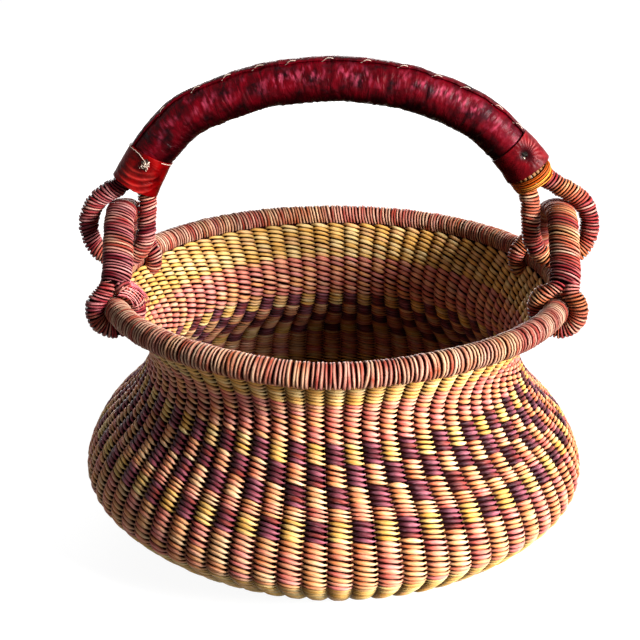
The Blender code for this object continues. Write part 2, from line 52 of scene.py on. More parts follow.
camera_lens = bpy.data.cameras.new("camera")
camera_lens.sensor_width = 36.0
camera_lens.lens = 65.1
camera = placed("camera", camera_lens)
look_at = Vector((-0.012, 0.0, 0.154))
look_down = math.radians(22.04)
look_from = 0.9
camera.location = (-0.010, -look_from * math.cos(look_down), look_at.z + look_from * math.sin(look_down))
camera.rotation_mode = "QUATERNION"
camera.rotation_quaternion = (look_at - camera.location).to_track_quat("-Z", "Y")
bpy.context.scene.camera = camera


# The wall is twined from strands of split elephant grass, two to a row, which cross between the stakes. One of
# the two shows on every other stake outside and on the rest inside, so two dyes alternate. The foot, belly,
# neck and flaring lip are drawn in by pulling the strands while twining.

def dye(red, green, blue):
    """A colour that is written as on a dyer's card, from 0 to 255, as the shader takes it."""
    shades = [value / 255 for value in (red, green, blue)]
    return np.array([s / 12.92 if s <= 0.04045 else ((s + 0.055) / 1.055) ** 2.4 for s in shades])


def eased(corners, steps):
    """A smooth line through these corners."""
    corners = np.array(corners, float)
    padded = np.vstack((2 * corners[0] - corners[1], corners, 2 * corners[-1] - corners[-2]))
    found = []
    for k in range(1, len(padded) - 2):
        before, start, end, after = padded[k - 1:k + 3]
        for t in np.arange(steps) / steps:
            found.append(0.5 * (2 * start + (end - before) * t
                                + (2 * before - 5 * start + 4 * end - after) * t ** 2
                                + (3 * start - before - 3 * end + after) * t ** 3))
    return np.array(found + [corners[-1]])


def run_along(line):
    """How far along its line each point lies."""
    return np.r_[0.0, np.cumsum(np.linalg.norm(np.diff(line, axis=0), axis=1))]


def at(run, runs, rows):
    """The row at each of these runs, between the rows that are given."""
    return np.stack([np.interp(run, runs, column) for column in rows.T], axis=-1)


def unit(ways):
    """These directions, each with a length of 1."""
    return ways / np.linalg.norm(ways, axis=1)[:, None]


foot_radius = 0.132
stakes = 72
rim_radius = 0.170
rim_height = 0.1875
floor_line = [(0.0, 0.0), (0.5 * foot_radius, 0.0), (foot_radius, 0.0)]
wall_line = [(foot_radius, 0.0), (0.1645, 0.0116), (0.1897, 0.0338), (0.1957, 0.050), (0.1828, 0.0765),
             (0.1576, 0.1042), (0.1432, 0.134), (0.1510, 0.1597), (rim_radius, rim_height)]
outer_line = np.vstack((eased(floor_line, 12)[:-1], eased(wall_line, 24)))
outer_run = run_along(outer_line)
outer_slope = unit(np.gradient(outer_line, outer_run, axis=0))


def run_at(height):
    """How far along the outer line the wall reaches this height."""
    climbing = outer_run > foot_radius
    return float(np.interp(height, outer_line[climbing, 1], outer_run[climbing]))


column_step = 2 * math.pi / stakes
twist_runs = [run_at(height) for height in (0.05, 0.085, 0.10, 0.112, 0.125, 0.14, 0.165, 0.187)]
twist_columns = (0.0, 0.0, -0.14, -0.20, -0.27, -0.29, -0.22, -0.20)
lean_heights = (0.0, 0.02, 0.045, 0.07, 0.087, 0.104, 0.13, 0.16)
lean_right = (0.0006, 0.0006, -0.0012, -0.0018, -0.0029, -0.0014, -0.0008, 0.0)
lowest_middle = 0.0011
sag_depth, sag_off, sag_spread = 0.0030, 0.06, 0.34


def sag(turn, height):
    """How far the mouth hangs down at the front, where it is held and leant on most."""
    off = np.mod(np.asarray(turn) + math.pi / 2 + sag_off + math.pi, 2 * math.pi) - math.pi
    return sag_depth * np.exp(-(off / sag_spread) ** 2) * (np.asarray(height) / rim_height) ** 2


def in_wall(run, depth, turn):
    """Points this far along the outer line, this deep in the wall and at this turn, and the way out there."""
    turn = turn + column_step * np.interp(run, twist_runs, twist_columns)
    radius, height = at(run, outer_run, outer_line).T
    across, up = at(run, outer_run, outer_slope).T
    radius, height = radius - depth * up, height + depth * across
    aside = np.interp(height, lean_heights, lean_right) * np.cos(turn) ** 2
    lowest = np.maximum(height - sag(turn, height), lowest_middle)
    spots = np.stack((radius * np.cos(turn) + aside, radius * np.sin(turn), lowest), axis=1)
    return spots, np.stack((up * np.cos(turn), up * np.sin(turn), -across), axis=1)


# A strand's second colour, for where it faces out, is its painted highlight; without one it is the colour
# itself.
def laid_strand(spots, outward, width, depth, colour, along, lot, closed=False, crown_highlight=None):
    """A strand through these spots. Its other values are one for all of them, or one for each."""
    steps = np.roll(spots, -1, axis=0) - np.roll(spots, 1, axis=0) if closed else np.gradient(spots, axis=0)
    strand = {"spots": spots, "ahead": unit(steps), "closed": closed}
    for key, value in (("outward", outward), ("colour", colour), ("crown_highlight", colour if crown_highlight is None else crown_highlight)):
        strand[key] = np.broadcast_to(value, (len(spots), 3))
    for key, value in (("width", width), ("depth", depth), ("along", along), ("lot", lot)):
        strand[key] = np.broadcast_to(value, len(spots))
    return strand


cord_radius = 0.001
# How much a strand's colour is darkened as painted shade on its flanks and on its underside.
side_painted_shade, under_painted_shade = 0.55, 0.30


def lay_strands(name, strands, sides):
    """One piece of grass strands, laid as round cords and then pressed to their own width and depth."""
    curve = bpy.data.curves.new(name, "CURVE")
    curve.dimensions = "3D"
    curve.bevel_depth = cord_radius
    curve.bevel_resolution = sides // 2 - 2
    for strand in strands:
        spline = curve.splines.new("POLY")
        spline.points.add(len(strand["spots"]) - 1)
        spline.points.foreach_set("co", np.c_[strand["spots"], np.ones(len(strand["spots"]))].ravel())
        spline.use_cyclic_u = strand["closed"]
    cords = placed(name + "_cords", curve)
    mesh = bpy.data.meshes.new_from_object(cords.evaluated_get(bpy.context.evaluated_depsgraph_get()))
    bpy.data.objects.remove(cords)
    bpy.data.curves.remove(curve)

    def each(key):
        return np.repeat(np.concatenate([strand[key] for strand in strands]), sides, axis=0)

    spots, ahead, outward, width, depth = (each(key) for key in ("spots", "ahead", "outward", "width", "depth"))
    outward = unit(outward - ahead * (outward * ahead).sum(1)[:, None])
    aside = np.cross(ahead, outward)
    places = np.empty(len(mesh.vertices) * 3)
    mesh.vertices.foreach_get("co", places)
    offset = (places.reshape(-1, 3) - spots) / cord_radius
    out_share, side_share = (offset * outward).sum(1), (offset * aside).sum(1)
    places = spots + outward * (out_share * depth)[:, None] + aside * (side_share * width)[:, None]
    mesh.vertices.foreach_set("co", places.ravel())
    # Painted shade on each strand's flanks and underside goes into the dye attribute. The colour for where it
    # faces out, its painted highlight, is kept apart.
    shade = 1 - side_painted_shade * np.abs(side_share) ** 3 - under_painted_shade * np.clip(-out_share, 0, 1)
    ones = np.ones(len(shade))
    fibre = np.c_[each("along"), side_share * width + 0.7 * out_share * depth, each("lot")]
    for key, kind, field, values in (
            ("dye", "FLOAT_COLOR", "color", np.c_[each("colour") * shade[:, None], ones]),
            ("crown_highlight", "FLOAT_COLOR", "color", np.c_[each("crown_highlight"), ones]),
            ("facing_out", "FLOAT", "value", np.clip(out_share, 0, 1)),
            ("fibre", "FLOAT_VECTOR", "vector", fibre)):
        mesh.attributes.new(key, kind, "POINT").data.foreach_set(field, values.ravel())
    bm = bmesh.new()
    bm.from_mesh(mesh)
    bmesh.ops.holes_fill(bm, edges=[edge for edge in bm.edges if edge.is_boundary])
    bm.to_mesh(mesh)
    bm.free()
    mesh.shade_smooth()
    return placed(name, mesh)


def new_finish(name):
    """A new material and its tree of nodes."""
    material = bpy.data.materials.new(name)
    material.use_nodes = True
    return material, material.node_tree


def feed(tree, node, inputs):
    """Sets inputs of a node, each to a number or colour, or to what another node gives."""
    for key, value in inputs.items():
        if isinstance(value, bpy.types.NodeSocket):
            tree.links.new(value, node.inputs[key])
        else:
            node.inputs[key].default_value = value


def add_node(tree, kind, gives, inputs=None, **settings):
    """What a new node with these inputs and settings gives."""
    node = tree.nodes.new("ShaderNode" + kind)
    for key, value in settings.items():
        setattr(node, key, value)
    feed(tree, node, inputs or {})
    return node.outputs[gives]


def grass_finish(name, roughness, ridge, gloss=0.14, lightened=0.55, crown_from=0.42, crown_full=1.0):
    """Dyed grass: the dye of each stitch with its painted shade, a painted highlight where each strand faces
    out, darker and paler fibres along it, and fine ridges.
    """
    material, tree = new_finish(name)
    flank_shade, crown_highlight = (add_node(tree, "Attribute", "Color", attribute_name=key) for key in ("dye", "crown_highlight"))
    out = add_node(tree, "Attribute", "Fac", attribute_name="facing_out")
    # Painted highlight: where a strand faces out, its highlight colour takes over from its shaded flanks.
    standing = add_node(tree, "MapRange", "Result", {
        "Value": out, "From Min": crown_from, "From Max": crown_full})
    dyed = add_node(tree, "Mix", "Result", {"Factor": standing, "A": flank_shade, "B": crown_highlight}, data_type="RGBA")
    fibre = add_node(tree, "Attribute", "Vector", attribute_name="fibre")
    stretch = add_node(tree, "Mapping", "Vector", {"Vector": fibre, "Scale": (140.0, 1900.0, 3.7)})
    straws = add_node(tree, "TexNoise", "Fac", {
        "Vector": stretch, "Scale": 1.0, "Detail": 3.0, "Roughness": 0.65})
    tone = add_node(tree, "MapRange", "Result", {
        "Value": straws, "From Min": 0.28, "From Max": 0.72, "To Min": 0.62, "To Max": 1.22})
    toned = add_node(tree, "VectorMath", "Vector", {0: dyed, "Scale": tone}, operation="SCALE")
    spread = add_node(tree, "Mapping", "Vector", {"Vector": fibre, "Scale": (95.0, 2600.0, 5.1)})
    pale = add_node(tree, "TexNoise", "Fac", {"Vector": spread, "Scale": 1.0, "Detail": 2.0})
    share = add_node(tree, "MapRange", "Result", {
        "Value": pale, "From Min": 0.50, "From Max": 0.74, "To Max": lightened})
    bleached = add_node(tree, "Gamma", "Color", {"Color": toned, "Gamma": 0.45})
    mixed = add_node(tree, "Mix", "Result", {"Factor": share, "A": toned, "B": bleached}, data_type="RGBA")
    bump = add_node(tree, "Bump", "Normal", {"Strength": ridge, "Distance": 0.0005, "Height": straws})
    feed(tree, tree.nodes["Principled BSDF"], {
        "Roughness": roughness, "Specular IOR Level": gloss, "Base Color": mixed, "Normal": bump})
    return material


chance = np.random.default_rng(72)
# In the lists of dyes below, each dye is paired with a paler colour that is painted on as highlight.
coral_dyes = [(dye(224, 106, 74), dye(255, 210, 168)), (dye(230, 124, 86), dye(255, 222, 178)),
              (dye(206, 80, 66), dye(250, 182, 150)), (dye(226, 120, 66), dye(255, 214, 150)),
              (dye(212, 94, 86), dye(252, 190, 166))]
straw_dyes = [(dye(234, 166, 68), dye(255, 228, 152)), (dye(220, 148, 52), dye(255, 212, 124)),
              (dye(240, 186, 96), dye(255, 238, 182)), (dye(226, 152, 76), dye(255, 218, 156))]
plum_dyes = [(dye(50, 2, 13), dye(198, 98, 112)), (dye(62, 7, 25), dye(212, 116, 130)),
             (dye(32, 1, 7), dye(152, 62, 72)), (dye(56, 5, 8), dye(190, 80, 70))]
orange_dyes = [(dye(226, 128, 64), dye(255, 224, 168)), (dye(214, 106, 54), dye(255, 204, 148)),
               (dye(236, 154, 90), dye(255, 234, 190)), (dye(222, 104, 68), dye(255, 202, 160))]
stitch_points = 8
stitch_lag = 0.26
stitch_drop = 0.34
stitch_thin, stitch_thicker = 0.0006, 0.0007
uneven_lift, uneven_width, uneven_push = 0.055, 0.10, 0.00020
weave_depth = 0.0062
neck_run = run_at(0.110)
shade_below_neck = 0.66

# How a stitch outside changes, from where it comes out beside one stake, 0, to where it goes in again, 1.
stitch_width = ((0.0, 0.12, 0.35, 0.84, 1.0), (0.8, 0.95, 1.0, 1.0, 0.5))
# Painted shade along a stitch: dark at the root, brightest towards the tip.
stitch_shade = ((0.0, 0.10, 0.30, 0.55, 0.85, 1.0), (0.12, 0.34, 0.86, 1.06, 1.02, 0.9))
# Painted highlight along a stitch: the share of its paler colour, most towards the tip.
stitch_painted_highlight = ((0.0, 0.35, 0.60, 0.82, 1.0), (0.0, 0.12, 0.44, 0.68, 0.72))


def dyed_stitches(dyes, count):
    """For each stitch one of the dyes, taken up more or less, and its paler colour, which is painted on as
    highlight.
    """
    picked = np.array(dyes)[chance.integers(len(dyes), size=count)]
    taken = chance.uniform(0.84, 1.14, size=(count, 1))
    return picked[:, 0] * taken, picked[:, 1] * np.minimum(taken, 1.0)


def twined_row(low, high, columns, dyes, proud):
    """The two strands of one row, between two places along the outer line."""
    pitch = high - low
    column = np.arange(columns * stitch_points) / stitch_points
    turn = column * 2 * math.pi / columns
    stitch = np.floor(column + 0.5 - 0.07).astype(int) % columns
    tip = (column + 0.43) % 1.0
    strands = []
    for parity in (0, 1):
        phase = math.pi * (column - parity)
        swing = np.cos(phase - stitch_lag)
        swing = np.sign(swing) * np.abs(swing) ** 0.75
        outside = swing > 0
        slant = np.sin(phase) - np.sin(3 * phase) / 9
        full = np.abs(np.cos(phase - 0.8 * stitch_lag))
        lift, size, push = (chance.normal(0.0, 1.0, columns)[stitch] for _ in range(3))
        run = (low + high) / 2 - stitch_drop * pitch * slant + uneven_lift * pitch * lift * full
        width = pitch * np.where(outside, 0.175 + 0.305 * full, 0.20 + 0.26 * full ** 0.5)
        width = width * (1 + uneven_width * size * full) * np.where(outside, np.interp(tip, *stitch_width), 1.0)
        depth = stitch_thin + stitch_thicker * full
        inset = depth - proud + (weave_depth - 2 * depth) * (1 - swing) / 2 + uneven_push * push * full
        spots, outward = in_wall(run, np.maximum(inset, depth - proud), turn)
        colour, lightened = (found[stitch] for found in dyed_stitches(dyes[parity], columns))
        # Painted shade inside: stitches darken towards their ends, and more below the neck. Their middles take
        # some paler colour as painted highlight.
        inside = (0.50 + 0.50 * full) * (shade_below_neck if high < neck_run else 1.0)
        shade = np.where(outside, np.interp(tip, *stitch_shade), inside)[:, None]
        highlight_share = np.where(outside, np.interp(tip, *stitch_painted_highlight), 0.50 * full)[:, None]
        strands.append(laid_strand(
            spots, outward * np.where(outside, 1.0, -1.0)[:, None], width, depth,
            (colour * (1 - 0.6 * highlight_share) + lightened * 0.6 * highlight_share) * shade,
            np.hypot(spots[:, 0], spots[:, 1]) * turn, chance.uniform(0, 90, columns)[stitch], True,
            (colour * (1 - highlight_share) + lightened * highlight_share) * shade))
    return strands


def twined_band(low, high, rows, columns, dyes, proud=0.0004):
    """The strands of several rows of the same dyes, standing this proud of the wall's own line."""
    marks = np.linspace(low, high, rows + 1)
    return [strand for k in range(rows) for strand in twined_row(marks[k], marks[k + 1], columns, dyes, proud)]


woven_grass = grass_finish("woven_grass", 0.5, 0.35)


def grass_piece(name, strands, node, finish=woven_grass, sides=6, body="basket"):
    """Lays strands as one piece, finishes them, and stands them for the node of the part, if there is one."""
    piece = lay_strands(name, strands, sides)
    piece.data.materials.append(finish)
    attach(piece, body)
    if node:
        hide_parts(node)
    return piece


# Each band of the wall: its piece, node and slot, and the height of its top, its rows and its two dyes.
wall_bands = (
    ("wall_lower_edge", "lower_edge_straw", "straw_grass", ((0.0403, 12, straw_dyes, straw_dyes),)),
    ("wall_belly", "belly_coral", "coral_grass", ((0.0716, 9, coral_dyes, orange_dyes),)),
    ("wall_lower_pattern", "lower_pattern", "straw_plum_grass", ((0.0831, 4, straw_dyes, plum_dyes),)),
    ("wall_middle_pattern", "middle_pattern", "plum_orange_grass",
     ((0.0893, 3, orange_dyes, coral_dyes), (0.1000, 4, plum_dyes, orange_dyes),
      (0.1119, 4, orange_dyes, plum_dyes))),
    ("wall_upper_pattern", "upper_pattern", "straw_plum_grass", ((0.1243, 4, plum_dyes, straw_dyes),)),
    ("wall_neck", "neck_coral", "coral_grass", ((0.1546, 8, coral_dyes, coral_dyes),)),
    ("wall_lip", "neck_straw", "straw_grass", ((0.1800, 8, straw_dyes, straw_dyes),)),
)
base_top = band_foot = run_at(0.012)
for name, node, slot, bands in wall_bands:
    band_strands = []
    for top, rows, *dyes in bands:
        band_strands += twined_band(band_foot, run_at(top), rows, stakes, dyes)
        band_foot = run_at(top)
    grass_piece(name, band_strands, node)


# The base is twined first, from the middle out, in undyed grass. New stakes are put in beside the first ones
# as the round grows, so the rows pass round 10, then 18, 36 and at last all 72 of them.

undyed = [(dye(206, 172, 104), dye(244, 222, 168)), (dye(190, 150, 84), dye(232, 204, 140)),
          (dye(216, 188, 126), dye(248, 230, 182))]
for name, rounds in (
        ("bottom_middle", ((0.0035, 0.0145, 3, 10), (0.0145, 0.0300, 4, 18), (0.0300, 0.0725, 12, 36))),
        ("bottom_edge", ((0.0725, 0.1130, 11, stakes),)),
        ("bottom_rise", ((0.1130, base_top, 12, stakes),))):
    round_strands = []
    for low, high, rows, columns in rounds:
        round_strands += twined_band(low, high, rows, columns, (undyed, undyed), 0.0)
    grass_piece(name, round_strands, "woven_base")


# The stakes are flat bundles of coarse grass, one in each column of the weave, wide enough to touch each other.
# The strands hide them, and they show only between stitches, where their nearly black colour is painted shade.
# They end under the rim. The first 36 start from the middle of the base.

shaded_grass = grass_finish("shaded_grass", 0.95, 0.3, gloss=0.0, lightened=0.1)
# Painted shade: the stakes are nearly black.
stake_shade_dark = dye(34, 9, 8)
stake_share = 0.54
stake_stagger = 0.0002
stake_strands = []
for count, run in ((36, np.linspace(0.0003, 0.062, 14)), (stakes, np.linspace(0.060, run_at(0.1866), 50))):
    for k in range(count):
        deep = weave_depth / 2 - 0.0004 + (stake_stagger if k % 2 else -stake_stagger)
        spots, outward = in_wall(run, deep, 2 * math.pi / count * k)
        wide = stake_share * (2 * math.pi / count) * np.hypot(spots[:, 0], spots[:, 1])
        stake_strands.append(laid_strand(spots, outward, wide, 0.0005, stake_shade_dark, run, k))
grass_piece("stakes", stake_strands, None, shaded_grass)


# The rim is a thick bundle of grass laid round the top of the wall. A coral strand is wound tightly round it,
# turn beside turn, all the way round.

wound_grass = grass_finish("wound_grass", 0.45, 0.4, gloss=0.07, crown_from=0.60, crown_full=0.95)
# Each wound dye is paired with a paler colour, painted on where the strands face out as glints.
wound_dyes = [(dye(190, 72, 56), dye(255, 208, 172)), (dye(204, 96, 66), dye(255, 216, 174)),
              (dye(166, 48, 48), dye(246, 174, 152)), (dye(208, 112, 62), dye(255, 208, 146)),
              (dye(150, 40, 44), dye(236, 150, 136))]
zone_turns = 4
turn_glints = 5
end_points = 5


def bound_section(turn, straight, height):
    """A place on the outline of one or two rods side by side, at this part of a turn."""
    return (straight + height) * np.cos(2 * math.pi * turn), height * np.sin(2 * math.pi * turn)


def wind(path, across, half_width, half_height, pitch, strand_size, closed=False, turn_points=14, lean=0.0,
         lean_from=0.0, dyes=wound_dyes, unrest=1.0, flank_shade=0.32, glinting=(-0.55, 1.15)):
    """One strand wound turn beside turn round a rope that follows the path."""
    path = np.array(path, float)
    across = np.broadcast_to(across, path.shape)
    if closed:
        path, across = (np.vstack((line, line[:1])) for line in (path, across))
    run = run_along(path)
    slope = np.gradient(path, run, axis=0)
    if closed:
        slope[0] = slope[-1] = path[1] - path[-2]
    for _ in range(4):
        slope[1:-1] = (slope[:-2] + 2 * slope[1:-1] + slope[2:]) / 4
    turns = max(2, round(run[-1] / pitch))
    marks = np.arange(turns + 2)
    count = turns * turn_points
    place = np.arange(count) / count if closed else np.linspace(0, 1, count)
    turn = place * turns
    loose = chance.normal(0, 0.13, turns + 2) * unrest
    tilt = lean + 0.24 * unrest * chance.normal(0, 1, turns + 2)
    if closed:
        loose[-2:], tilt[-2:] = loose[:2], tilt[:2]
    shift = np.interp(turn, marks, loose)
    shift += np.interp(turn, marks, tilt) * np.sin(2 * math.pi * (turn + lean_from))
    way = (place + shift * pitch / run[-1]) * run[-1]
    way = way % run[-1] if closed else np.clip(way, 0, run[-1])
    middle, sideways, ahead = at(way, run, path), at(way, run, across), unit(at(way, run, slope))
    sideways = unit(sideways - ahead * (sideways * ahead).sum(1)[:, None])
    upward = np.cross(ahead, sideways)
    half_width, half_height = (np.interp(way, run, np.broadcast_to(half, len(run)))
                               for half in (half_width, half_height))
    (first, second), later, before = (bound_section(turn + step, half_width - half_height, half_height)
                                      for step in (0, 0.01, -0.01))
    outward = unit((later[1] - before[1])[:, None] * sideways - (later[0] - before[0])[:, None] * upward)
    thick = np.clip(1 + 0.14 * unrest * np.interp(turn, marks, chance.normal(0, 1, turns + 2)), 0.65, 1.35)
    if closed:
        thick[-3:] = thick[0]
    proud = strand_size[1] * (thick - 1) * 0.6
    spots = middle + first[:, None] * sideways + second[:, None] * upward + proud[:, None] * outward
    beside = np.linalg.norm(np.roll(spots, -turn_points, axis=0) - spots, axis=1)
    if not closed:
        beside[-turn_points:] = beside[-turn_points - 1]
    beside = (beside + np.roll(beside, turn_points)) / 2
    if not closed:
        beside[:turn_points] = beside[turn_points]
    fitted = np.clip(beside / pitch, 0.8, 1.55)
    zones = np.arange(turns // zone_turns + 3) * zone_turns
    even = chance.uniform(0.85, 1.15, turns + 1)[:, None]
    tones, lightened = (even * at(np.arange(turns + 1), zones, found) for found in dyed_stitches(dyes, len(zones)))
    lightened = np.minimum(lightened, 1.0)
    # Painted highlights: glints mix the colour where the strand faces out from the dye towards its paler colour,
    # by chance along each turn.
    glints = chance.uniform(*glinting, turns * turn_glints + 2)
    glint = np.clip(np.interp(turn * turn_glints, np.arange(len(glints)), glints), 0, 1)[:, None]
    ends = np.ones(count)
    if not closed:
        ends = np.clip(np.minimum(np.arange(count), count - 1 - np.arange(count)) / end_points, 0.15, 1.0)
    whole = np.floor(turn).astype(int)
    # Painted shade: the flanks take the dye darkened by the flank share.
    return laid_strand(spots, outward, strand_size[0] * thick * ends * fitted, strand_size[1] * thick * ends,
                       tones[whole] * flank_shade, place * run[-1] * 20, whole * 1.7, closed,
                       tones[whole] * (1 - glint) + lightened[whole] * glint)


# Painted shade: the cores under the windings are nearly black, so the gaps between turns look dark.
core_shade_dark = dye(30, 5, 6)
bundle_radius = 0.0075
rim_turns = np.linspace(0, 2 * math.pi, 144, endpoint=False)
rim_path = np.stack((rim_radius * np.cos(rim_turns), rim_radius * np.sin(rim_turns),
                     rim_height - sag(rim_turns, rim_height)), axis=1)
rim_outward = np.stack((np.cos(rim_turns), np.sin(rim_turns), np.zeros(144)), axis=1)
rim_bundle = laid_strand(rim_path, np.cross(np.gradient(rim_path, axis=0), (0.0, 0.0, 1.0)), bundle_radius,
                         bundle_radius, core_shade_dark, run_along(rim_path), 0, closed=True)
grass_piece("rim_bundle", [rim_bundle], None, shaded_grass, 12)

# The rim's strands come from one lot, so their dyes differ less. Painted shade darkens them towards the two
# sides, most at the right.
middle_dye = np.mean(wound_dyes, axis=0)
rim_dyes = [0.5 * np.array(pair) + 0.5 * middle_dye for pair in wound_dyes]
rim_strand = wind(rim_path, rim_outward, 0.0079, 0.0079, 0.0028, (0.00126, 0.00125), closed=True, lean=-0.4,
                  dyes=rim_dyes, unrest=0.8, flank_shade=0.42, glinting=(-0.25, 1.35))
rim_shade = 0.95 - 0.20 * np.clip(-rim_strand["spots"][:, 0] / rim_radius, 0, 1)
rim_shade -= 0.38 * np.clip(rim_strand["spots"][:, 0] / rim_radius, 0, 1)
for dyed in ("colour", "crown_highlight"):
    rim_strand[dyed] = rim_strand[dyed] * rim_shade[:, None]
grass_piece("rim_winding", [rim_strand], "rim_rope", wound_grass)


# Each ear is one doubled grass rope, bent over an arch. Its two runs are wound together on the way up and over.
# At each foot they part, and the rope goes round the rim in an eye, through the weave.

ear_side = 0.062
ear_foot = math.sqrt(rim_radius ** 2 - ear_side ** 2)
ear_rise = 0.056
rear_side = 0.0560
bar_height = 0.20355
ear_rope = 0.0096
run_off_line = 0.00495
eye_radius = 0.0154
eye_rope = 0.012
upright = np.array((0.0, 0.0, 1.0))


def ear_line(side):
    """The middle line of an ear from its front foot to its rear one."""
    top_radius = rim_height + ear_rise - bar_height
    leg_height = rim_height + eye_radius + 0.002 - bar_height
    leg_angle = math.atan2(ear_side, leg_height)
    bend = leg_angle - math.acos(top_radius / math.hypot(ear_side, leg_height))
    arch = [(top_radius * math.sin(a), top_radius * math.cos(a)) for a in np.linspace(-bend, bend, 7)]

    def leg(foot_side, top, steps):
        return [(foot_side + (top[0] - foot_side) * t, leg_height + (top[1] - leg_height) * t) for t in steps]

    steps = np.linspace(0, 1, 5)[:-1]
    found = []
    for y, height in leg(-ear_side, arch[0], steps) + arch + leg(rear_side, arch[-1], steps[::-1]):
        rise = (height + bar_height - rim_height) / ear_rise
        pushed = 0.0034 * min(1.0, 2.2 * rise)
        x = side * (ear_foot + (rim_radius - 0.0065 - ear_foot) * rise) + pushed
        found.append((x, y, bar_height + height))
    return eased(found, 5)


def ear_ring(side):
    """The way of an ear's closed rope: over on its outer run, round the rim, back, and round it again."""
    line, rope, eyes = ear_line(side), [], []
    sideways = np.array((side, 0.0, 0.0))
    rope.extend(line + run_off_line * sideways)
    for front in (1, -1):
        reach = ear_side if front < 0 else rear_side
        outward = np.array((side * math.sqrt(rim_radius ** 2 - reach ** 2), front * reach, 0.0)) / rim_radius
        foot = rim_radius * outward + np.array((0.0, 0.0, rim_height))
        angles = np.radians(np.linspace(60, -240, 22))[::front]
        eyes.append((len(rope), len(rope) + len(angles)))
        rope.extend(foot + eye_radius * (math.cos(a) * outward + math.sin(a) * upright) for a in angles)
        if front > 0:
            rope.extend((line - run_off_line * sideways)[::-1])
    return line, np.array(rope), eyes


wine_dyes = [(dye(142, 30, 40), dye(238, 152, 146)), (dye(166, 48, 48), dye(250, 184, 160)),
             (dye(112, 16, 30), dye(208, 112, 118)), (dye(182, 74, 54), dye(253, 198, 158))]
# For each side: its dyes, how unruly its turns are, its painted shade on the flanks and its range of painted
# glints. The right side is painted darker, with fewer glints.
side_grass = {-1: {"dyes": wine_dyes, "unrest": 0.9, "flank_shade": 0.32, "glinting": (-0.55, 1.15)},
              1: {"dyes": wound_dyes, "unrest": 0.9, "flank_shade": 0.24, "glinting": (-1.1, 1.05)}}
core_inset = 0.0010
for side, word in ((-1, "left"), (1, "right")):
    line, rope, eyes = ear_ring(side)
    snug = np.clip((1 - np.abs(np.linspace(-1, 1, len(line)))) / 0.06, 0, 1)
    bow = wind(line, (1.0, 0.0, 0.0), 0.0089 + 0.0012 * snug, 0.0059, 0.0026, (0.00108, 0.00125),
               turn_points=20, lean=-1.3, lean_from=0.25, **side_grass[side])
    if side > 0:
        # Painted shade: the right ear is darker on the side that faces into the basket.
        lit_side = np.clip((bow["spots"][:, 0] - line[:, 0].mean()) / 0.007, -1, 1)[:, None]
        bow["colour"] = bow["colour"] * (0.70 + 0.30 * lit_side)
        bow["crown_highlight"] = bow["crown_highlight"] * (0.74 + 0.26 * lit_side)
    grass_piece("ear_winding_" + word, [bow], "ear_wrap_" + word, wound_grass)
    size = np.full(len(rope), ear_rope / 2 - core_inset)
    for first, last in eyes:
        size[first:last] = eye_rope / 2 - core_inset
    grass_piece("ear_bundle_" + word, [
        laid_strand(line, (1.0, 0.0, 0.0), 0.0046, 0.0080, core_shade_dark, np.linspace(0, 0.2, len(line)), 0),
        laid_strand(rope, (0.02, 0.99, 0.1), size, size, core_shade_dark, np.linspace(0, 0.5, len(rope)), 0, True),
    ], None, shaded_grass, 10)
    eye_strands = []
    for first, last in eyes:
        path = rope[np.arange(first - 2, last + 2) % len(rope)]
        sizes = np.r_[ear_rope / 2, ear_rope / 2 + 0.0002, np.full(len(path) - 4, eye_rope / 2 - 0.0006),
                      ear_rope / 2 + 0.0002, ear_rope / 2] + 0.0003
        axis = np.cross((0.0, 0.0, 1.0), path.mean(0) * (1, 1, 0))
        eye_strands.append(wind(path, axis, sizes, sizes, 0.0023, (0.00094, 0.00125), lean=0.5,
                                **side_grass[side]))
    grass_piece("ear_eyes_" + word, eye_strands, "ear_rope_" + word, wound_grass)


# Inside the left ear's front eye the winding has frayed, and its loose ends hang down in a soft pink tuft.
# They are the fibres of the same strand, held fast only at their upper ends.

tuft_dyes = [(dye(186, 34, 52), dye(244, 140, 146)), (dye(206, 66, 74), dye(255, 190, 180)),
             (dye(166, 22, 44), dye(224, 96, 112))]
tuft_foot = np.array((-ear_foot, -ear_side, rim_height))
tuft_out = np.array((-ear_foot, -ear_side, 0.0)) / rim_radius
tuft_aside = np.array((-tuft_out[1], tuft_out[0], 0.0))
tuft_strands = []
for k, (tone, lightened) in enumerate(zip(*dyed_stitches(tuft_dyes, 30))):
    share = np.linspace(0, 1, 12)
    angle = np.radians(chance.uniform(92, 122) + chance.uniform(45, 80) * share)
    about = np.radians(chance.uniform(-30, 115) + chance.uniform(-14, 14) * share)
    away = eye_rope / 2 + 0.0010 + 0.0006 * share + chance.uniform(0.0004, 0.0026) * share ** 2
    ring = np.cos(angle)[:, None] * tuft_out + np.sin(angle)[:, None] * upright
    lift = np.cos(about)[:, None] * ring + np.sin(about)[:, None] * tuft_aside
    taper = np.clip(1.2 - share, 0.25, 1)
    spots = tuft_foot + eye_radius * ring + away[:, None] * lift
    # Each fibre's paler colour is a painted highlight where it faces out.
    tuft_strands.append(laid_strand(spots, lift, 0.00046 * taper, 0.00036 * taper, tone, 0.02 * share, k,
                                    crown_highlight=lightened))
grass_piece("ear_loose_ends_left", tuft_strands, None, wound_grass)


# The handle is one closed grass rope, doubled through the grip. At each end it opens into a loop through an
# ear. Coral strands are wound round the loops, and the bare runs are hidden in the grip.

